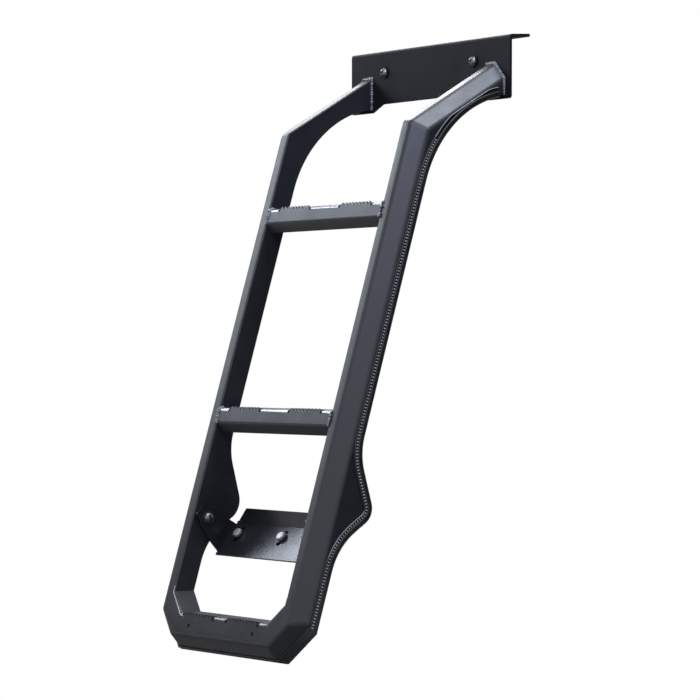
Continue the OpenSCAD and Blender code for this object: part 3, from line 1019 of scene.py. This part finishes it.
@dataclass
class Repeater:
    """Geometry Nodes that set one small rounded block after another along lines.

    The block's length runs along the line, its width across it in the wall, and its height out of the wall.
    """

    name: str
    pitch: float
    block: Triple
    finish: Material
    jitter: float
    seed: int

    def inputs(self) -> dict[str, tuple[str, object]]:
        """Lists the tree's inputs.

        Returns:
            Each input's kind of socket and its value, by its name.
        """
        return {
            "Pitch": ("NodeSocketFloat", self.pitch),
            "Block": ("NodeSocketVector", self.block),
            "Smallest": ("NodeSocketFloat", 1.0 - self.jitter),
            "Largest": ("NodeSocketFloat", 1.0 + self.jitter),
            "Seed": ("NodeSocketInt", self.seed),
            "Finish": ("NodeSocketMaterial", self.finish),
        }

    def tree(self) -> Tree:
        """Builds the node tree with named inputs for its sizes.

        Returns:
            The tree.
        """
        tree = bpy.data.node_groups.new(self.name, "GeometryNodeTree")
        tree.interface.new_socket("Geometry", in_out="INPUT", socket_type="NodeSocketGeometry")
        for label, (kind, _) in self.inputs().items():
            tree.interface.new_socket(label, in_out="INPUT", socket_type=kind)
        tree.interface.new_socket("Geometry", in_out="OUTPUT", socket_type="NodeSocketGeometry")
        given = tree.nodes.new("NodeGroupInput").outputs

        def step(kind: str, result: str, fed: Fed, **settings: str) -> Socket:
            """Adds one of the geometry nodes and returns its named output."""
            return add(tree, f"GeometryNode{kind}", result, fed, **settings)

        euler = "FunctionNodeAlignEulerToVector"
        line = step("MeshToCurve", "Curve", {"Mesh": given["Geometry"]})
        points = step("ResampleCurve", "Curve", {"Curve": line, "Length": given["Pitch"]}, mode="LENGTH")
        way = step("InputTangent", "Tangent", {})
        out = step("InputNamedAttribute", "Attribute", {"Name": "outward"}, data_type="FLOAT_VECTOR")
        along = add(tree, euler, "Rotation", {"Vector": way}, axis="X")
        upright = add(tree, euler, "Rotation", {"Rotation": along, "Vector": out}, axis="Z", pivot_axis="X")
        ball = step("MeshIcoSphere", "Mesh", {"Radius": 0.5, "Subdivisions": 2})
        block = step("Transform", "Geometry", {"Geometry": ball, "Scale": given["Block"]})
        spread = {"Min": given["Smallest"], "Max": given["Largest"], "Seed": given["Seed"]}
        size = add(tree, "FunctionNodeRandomValue", "Value", spread, data_type="FLOAT")
        placed = {"Points": points, "Instance": block, "Rotation": upright, "Scale": size}
        rows = step("InstanceOnPoints", "Instances", placed)
        real = step("RealizeInstances", "Geometry", {"Geometry": rows})
        smooth = step("SetShadeSmooth", "Geometry", {"Geometry": real})
        coated = step("SetMaterial", "Geometry", {"Geometry": smooth, "Material": given["Finish"]})
        feed(tree, tree.nodes.new("NodeGroupOutput"), {"Geometry": coated})
        return tree

    def run(self, made: Object) -> Object:
        """Turns an object of lines into its rows of blocks.

        Args:
            made: The lines.

        Returns:
            The rows, as the same object.
        """
        rows = made.modifiers.new(self.name, "NODES")
        rows.node_group = self.tree()
        for item in rows.node_group.interface.items_tree:
            if item.name in self.inputs():
                rows[item.identifier] = self.inputs()[item.name][1]
        return settled(made)


@dataclass
class TrimStation:
    """One place along the sheet's back edge: the edge, the way out of the wall and the way along the leg."""

    edge: Vector
    out: Vector
    leg_way: Vector
    leg: float

    def at(self, out: float, along: float) -> Vector:
        """Returns the point that far out of the wall and that far along the leg."""
        return self.edge + out * self.out + along * self.leg_way

    def mirrored(self) -> "TrimStation":
        """Returns the station's mirror image."""
        return TrimStation(sided(self.edge, -1), sided(self.out, -1), sided(self.leg_way, -1), self.leg)


@dataclass
class EdgeTrim:
    """Rubber trim pushed over the back edge, with ribs and a lip on its outer leg; the ribs and a line along
    the lip are light grey, painted highlights.

    A rib stands between the leg's round back, at rib_back, and its tip's lip, rib_front short of the leg.
    """

    plan: StilePlan
    finishes: Finishes
    leg: float = 12.0 * MM
    leg_gap: float = 0.4 * MM
    inner_leg: float = 8.3 * MM
    start: float = 14.0 * MM
    rib_pitch: float = 4.3 * MM
    rib: Triple = (2.2 * MM, 4.0 * MM, 2.2 * MM)
    rib_out: float = 1.5 * MM
    rib_back: float = 5.6 * MM
    rib_front: float = 1.9 * MM
    smooth_above: float = -112.0 * MM
    smooth_below: float = -790.0 * MM
    under_bulge: Pair = (-684.0 * MM, -619.0 * MM)
    lip: float = 0.5 * MM
    lip_out: float = 2.1 * MM
    lip_front: float = 0.6 * MM

    def clearance(self, point: Vector) -> float:
        """Measures the room for the trim's leg.

        Args:
            point: A point of the back edge.

        Returns:
            How far it is from the bevel's crease.
        """
        plan = self.plan
        away = point - plan.mitre(plan.bevel)
        arm_way = Vector((math.cos(plan.rise), math.sin(plan.rise)))
        return min(abs(away.x * way.y - away.y * way.x) for way in (plan.down_way, arm_way))

    def stations(self) -> list[TrimStation]:
        """Walks the back edge from the right arm's end round to the left arm's.

        Returns:
            The stations.
        """
        plan = self.plan
        line = plan.back(-self.start, plan.cut(plan.depth) - plan.outer, steps=60)
        along_x = Vector((1, 0, 0))
        right = []
        for i, point in enumerate(line):
            before, after = line[max(i - 1, 0)], line[min(i + 1, len(line) - 1)]
            way = (after - before).normalized()
            leg = min(self.leg, self.clearance(point) - self.leg_gap)
            leg_way = Vector((0, way.y, -way.x))
            right.append(TrimStation(spot(plan.outer, point), along_x, leg_way, leg))
        down, front = spot(0.0, plan.down_way), spot(0.0, -plan.back_way)
        facet = (along_x + down + plan.slope * front).normalized()

        def mitred(first: Vector, second: Vector) -> Vector:
            """Returns the mitre of two ways out of the wall."""
            middle = (first + second).normalized()
            return middle / middle.dot(first)

        right[-1].out = mitred(along_x, facet)
        right[-1].leg_way = front - plan.slope * down
        low = plan.on(plan.cut(plan.depth) - plan.low, plan.depth, plan.low)
        right.append(TrimStation(low, mitred(facet, down), front - plan.slope * along_x, self.leg))
        return right + [station.mirrored() for station in reversed(right)]

    def between(self, low: float, high: float) -> list[list[TrimStation]]:
        """Returns the right and the left stations whose Z lies between two heights."""
        near = [s for s in self.stations() if low < s.edge.z < high]
        return [[s for s in near if side * s.edge.x > 0] for side in (1, -1)]

    def section(self, leg: float) -> list[Pair]:
        """Draws the trim's section.

        Args:
            leg: The length of its outer leg.

        Returns:
            The section's points, out of the wall and along the leg.
        """
        tip, inner = leg / MM, self.inner_leg / MM
        points = (
            (0.02, tip), (1.3, tip + 0.1), (2.2, tip - 0.4), (2.4, tip - 1.1), (1.5, tip - 1.7), (1.5, 5.8),
            (2.3, 5.2), (2.5, 4.0), (2.5, 1.0), (2.1, -0.9), (1.2, -2.0), (0.0, -2.5),
            (-3.0, -2.5), (-4.2, -2.0), (-5.1, -0.9), (-5.5, 1.0), (-5.5, 4.0), (-5.2, inner - 0.6),
            (-4.4, inner), (-3.02, inner), (-3.0, 0.02), (0.0, 0.02),
        )
        return [(out * MM, along * MM) for out, along in points]

    def strip(self) -> Object:
        """Sweeps the section round the back edge.

        Returns:
            The strip.
        """
        shape = bmesh.new()
        loft(shape, [[s.at(*point) for point in self.section(s.leg)] for s in self.stations()])
        return shade(solid("rubber_trim", shape), 50.0)

    def rib_line(self) -> Object:
        """Sets out the ribs where the leg is wide enough.

        Returns:
            The ribs' centre lines.
        """
        runs = []
        for stations in self.between(self.smooth_below, self.smooth_above):
            middles = [0.5 * (s.leg - self.rib_front + self.rib_back) for s in stations]
            runs.append([(s.at(self.rib_out, m), s.out.normalized()) for s, m in zip(stations, middles)])
        return guides("trim_ribs", runs)

    def lip_highlights(self) -> Object:
        """Draws a light grey line along the strip's lip round each arm's arc and under each bulge, a painted
        highlight.

        Returns:
            The highlight lines.
        """
        near = self.between(self.smooth_above, math.inf) + self.between(*self.under_bulge)
        runs = [[s.at(self.lip_out, s.leg - self.lip_front) for s in stations] for stations in near]
        return tube("trim_lip_highlights", runs, self.lip)

    def build(self) -> None:
        """Makes the lip's painted highlight lines, the strip and its ribs."""
        # The ribs' light grey paints highlights on the ribs and along the lip.
        rib = self.finishes.rib
        dress(self.lip_highlights(), rib, Slot.TRIM)
        nodes = [f"{side}_edge_trim" for side in ("left", "right", "bottom")]
        dress(self.strip(), self.finishes.rubber, Slot.TRIM, *nodes)
        ribs = Repeater("rib_row", self.rib_pitch, self.rib, rib, jitter=0.0, seed=7).run(self.rib_line())
        dress(ribs, rib, Slot.TRIM)


@dataclass
class Welds:
    """Coated weld beads where the arms meet the plate and the rungs meet the stiles."""

    plan: StilePlan
    finishes: Finishes
    bead: Triple = (3.7 * MM, 5.6 * MM, 3.6 * MM)
    ripple: float = 2.6 * MM
    jitter: float = 0.38
    lift: float = 0.4 * MM
    rung_low: float = 23.8 * MM
    rung_deep: float = 32.0 * MM
    seam: float = 0.9 * MM

    def arm_lines(self) -> Beads:
        """Sets out the beads round the right arm's end on the plate.

        Returns:
            The beads.
        """
        plan, lift = self.plan, self.lift
        y = plan.plate - 0.5 * MM
        top_in, top_out, low = plan.arm(0, y), plan.arm(plan.bevel, y), plan.back(y, plan.s_inner)[0]
        up = lift * Vector((0.0, -math.sin(plan.rise), math.cos(plan.rise)))
        crease, outer = spot(plan.crease, top_in) + up, spot(plan.outer + lift, top_out)
        return [
            ([spot(plan.inner + 0.5 * MM, top_in) + up, crease], Vector((0, -0.7, 0.7))),
            ([crease, outer], Vector((0.5, -0.6, 0.5))),
            ([outer, spot(plan.outer + lift, low)], Vector((0.7, -0.7, 0))),
            ([spot(plan.inner - lift, top_in), spot(plan.inner - lift, low)], Vector((-0.7, -0.7, 0))),
        ]

    def rung_lines(self, tip: float) -> Beads:
        """Sets out the beads at a rung's right end.

        Args:
            tip: Where the rung's teeth end, down the stile.

        Returns:
            The beads.
        """
        plan = self.plan
        x = plan.inner - 0.3 * MM
        front = [plan.on(x, w * MM, s) for w, s in ((-0.2, tip + 5.0 * MM), (-0.2, tip + self.rung_low))]
        top = [(0.6 * MM, 4.0 * MM), (4.2 * MM, 0.2 * MM), (self.rung_deep, 0.2 * MM)]
        inward = Vector((-0.9, 0, 0))
        return [
            (front, (spot(0.0, -plan.back_way) + inward).normalized()),
            ([plan.on(x, w, tip + s) for w, s in top], (spot(0.0, -plan.down_way) + inward).normalized()),
        ]

    def corner_line(self) -> list[Vector]:
        """Sets out a thin light line along the right corner plate's edge on the front face, a painted
        highlight.

        Returns:
            The seam's points.
        """
        plan = self.plan
        edge, corner, lip = plan.inner + 1.2 * MM, plan.x_inner + 0.9 * MM, plan.lip + 0.9 * MM
        stops = (
            (edge, plan.s_inner - 9.0 * MM),
            (edge, plan.s_inner + 0.5 * MM),
            (corner, lip),
            (plan.x_inner - 5.5 * MM, lip),
        )
        return [plan.on(x, self.seam, s) for x, s in stops]

    def build(self) -> None:
        """Draws the corner plates' painted highlight lines, then lays every bead, right and left, as one
        piece.
        """
        seam_highlights = [[sided(p, side) for p in self.corner_line()] for side in (1, -1)]
        dress(tube("corner_seam_highlights", seam_highlights, self.seam), self.finishes.seam, Slot.COAT)
        upper, lower, _ = self.plan.tips
        lines = self.arm_lines() + self.rung_lines(upper) + self.rung_lines(lower)
        runs = []
        for side in (1, -1):
            runs += [[(sided(p, side), sided(out, side)) for p in points] for points, out in lines]
        row = Repeater("weld_row", self.ripple, self.bead, self.finishes.weld, self.jitter, seed=11)
        dress(row.run(guides("weld_beads", runs)), self.finishes.weld, Slot.COAT)


# The studio


AIM = (0.0, -0.18, -0.35)


@dataclass
class Softbox:
    """A rectangular light that looks at a point."""

    name: str
    place: Triple
    size: Pair
    radiance: float
    colour: Triple
    target: Triple = AIM

    def build(self) -> None:
        """Adds the light, with its power set from the brightness of its face."""
        lamp = bpy.data.lights.new(self.name, "AREA")
        lamp.shape = "RECTANGLE"
        lamp.size, lamp.size_y = self.size
        lamp.color = self.colour
        lamp.energy = self.radiance * math.pi * self.size[0] * self.size[1]
        made = linked(self.name, lamp)
        made.location = self.place
        made.rotation_euler = (Vector(self.target) - Vector(self.place)).to_track_quat("-Z", "Y").to_euler()


def seen_plainly(tree: Tree) -> Socket:
    """Tells the rays that see a thing from the light that falls on the object.

    Args:
        tree: The tree.

    Returns:
        1 where the camera, a gloss or a glass looks, and 0 elsewhere.
    """
    rays = tree.nodes.new("ShaderNodeLightPath").outputs
    seen = rays["Is Camera Ray"]
    for other in ("Is Glossy Ray", "Is Transmission Ray"):
        seen = add(tree, "ShaderNodeMath", "Value", {0: seen, 1: rays[other]}, operation="MAXIMUM")
    return seen


def stage_panel(name: str, graph: Graph, place: Matrix) -> Object:
    """Makes a panel of the stage.

    Args:
        name: The panel's name.
        graph: Its material's graph.
        place: The matrix that sets a square metre in place.

    Returns:
        The panel.
    """
    shape = bmesh.new()
    bmesh.ops.create_grid(shape, x_segments=1, y_segments=1, size=0.5, matrix=place)
    made = solid(name, shape)
    made.data.materials.append(graph.material)
    return made


@dataclass
class Flag:
    """A dark panel of the studio, outside the picture, that only reflections see."""

    name: str
    place: Triple
    target: Triple
    size: Pair
    colour: Triple = (0.005, 0.005, 0.005)
    paler: float = 1.1

    def build(self) -> None:
        """Stands the panel up, facing its target."""
        graph = Graph(self.name)
        pale = tuple(self.paler * c for c in self.colour)
        tint = graph.drift(graph.noise(3.0), self.colour, pale)
        graph.put({"Base Color": tint, "Roughness": 1.0, "Specular IOR Level": 0.0})
        made = stage_panel(self.name, graph, Matrix.Diagonal((*self.size, 1.0, 1.0)))
        made.location = self.place
        made.rotation_euler = (Vector(self.target) - Vector(self.place)).to_track_quat("Z", "Y").to_euler()
        made.visible_camera = made.visible_diffuse = made.visible_shadow = False


@dataclass
class Studio:
    """Camera, lights, flags, floor and white surround."""

    camera_at: Triple = (3.099, -2.569, -0.40925)
    turn: float = 52.0
    pitch: float = 0.16
    lens: float = 142.4
    clip: Pair = (0.05, 60.0)
    floor_at: Triple = (0.0, -0.2, -1.25)
    floor_size: Pair = (4.0, 4.0)
    shade: float = 0.30
    dim: tuple[float, ...] = (0.92, 0.95, 1.0, 1.0)
    dimness: float = 0.15
    lights: tuple[Softbox, ...] = (
        Softbox("overhead", (0.720, 0.040, 1.717), (0.75, 0.75), 15.5, (0.90, 1.0, 1.18)),
        Softbox("back_left", (-1.300, 0.511, 1.285), (0.75, 0.75), 11.6, (0.97, 1.0, 1.04)),
        Softbox("front_left", (-1.833, -1.074, 0.500), (0.85, 0.9), 2.9, (0.88, 1.0, 1.24)),
        Softbox("side_left", (-1.843, -0.277, 0.848), (1.6, 0.3), 11.0, (0.92, 1.0, 1.14)),
        Softbox("front_right", (1.059, -1.356, 1.178), (0.75, 0.75), 6.6, (0.86, 0.98, 1.42)),
    )
    flags: tuple[Flag, ...] = (
        Flag("flag_right_back", (2.0, 1.48, 0.2), (0.0, -0.18, 0.2), (4.2, 3.8)),
        Flag("flag_left_front", (-1.95, -1.8, -0.29), (0.0, -0.18, -0.29), (2.4, 0.7)),
        Flag("flag_left_back", (-2.3, 1.1, -0.6), (0.0, -0.18, -0.6), (2.6, 1.3)),
        Flag("flag_below", (-0.7, -0.8, -1.22), (-0.7, -0.8, 0.0), (2.4, 2.4), (0.28, 0.265, 0.24)),
    )

    def camera(self) -> None:
        """Sets the camera at the photograph's viewpoint."""
        lens = bpy.data.cameras.new("camera")
        lens.lens, lens.sensor_width = self.lens, 36.0
        lens.clip_start, lens.clip_end = self.clip
        made = linked("camera", lens)
        made.location = self.camera_at
        made.rotation_euler = (math.radians(90 + self.pitch), 0.0, math.radians(self.turn))
        bpy.context.scene.camera = made

    def world(self) -> None:
        """Gives a dim even surround, white where the camera, a gloss or a glass looks at it."""
        world = bpy.data.worlds.new("surround")
        bpy.context.scene.world = world
        world.use_nodes = True
        tree = world.node_tree
        tree.nodes.clear()
        dim = add(tree, "ShaderNodeBackground", "Background", {"Color": self.dim, "Strength": self.dimness})
        white = add(tree, "ShaderNodeBackground", "Background", {"Color": (1.0,) * 4, "Strength": 1.0})
        mix = add(tree, "ShaderNodeMixShader", "Shader", {"Fac": seen_plainly(tree), 1: dim, 2: white})
        feed(tree, tree.nodes.new("ShaderNodeOutputWorld"), {"Surface": mix})

    def floor(self) -> None:
        """Lays a plain pale floor below the ladder."""
        graph = Graph("pale_floor")
        pale = graph.drift(graph.noise(3.0), (0.80, 0.80, 0.80), (0.84, 0.84, 0.84))
        shown = graph.blend(seen_plainly(graph.tree), (self.shade,) * 3, (1.0, 1.0, 1.0))
        colour = add(graph.tree, "ShaderNodeVectorMath", "Vector", {0: pale, 1: shown}, operation="MULTIPLY")
        graph.put({"Base Color": colour, "Roughness": 0.9})
        place = Matrix.Translation(self.floor_at) @ Matrix.Diagonal((*self.floor_size, 1.0, 1.0))
        stage_panel("floor", graph, place)

    def build(self) -> None:
        """Sets up the whole studio."""
        bpy.context.scene.view_settings.view_transform = "Standard"
        self.camera()
        self.world()
        self.floor()
        for piece in (*self.lights, *self.flags):
            piece.build()


def main() -> None:
    """Builds the ladder's pieces in order, then the studio."""
    logging.basicConfig(level=logging.INFO, format="%(name)s: %(message)s")
    plan, finishes = StilePlan(), Finishes()
    frame_parts = (OuterFrame(plan, finishes), Treads(plan, finishes))
    fixings = (MountingPlate(finishes), LowerBracket(finishes))
    for part in (*frame_parts, *fixings, EdgeTrim(plan, finishes), Welds(plan, finishes), Studio()):
        part.build()


if __name__ == "__main__":
    main()
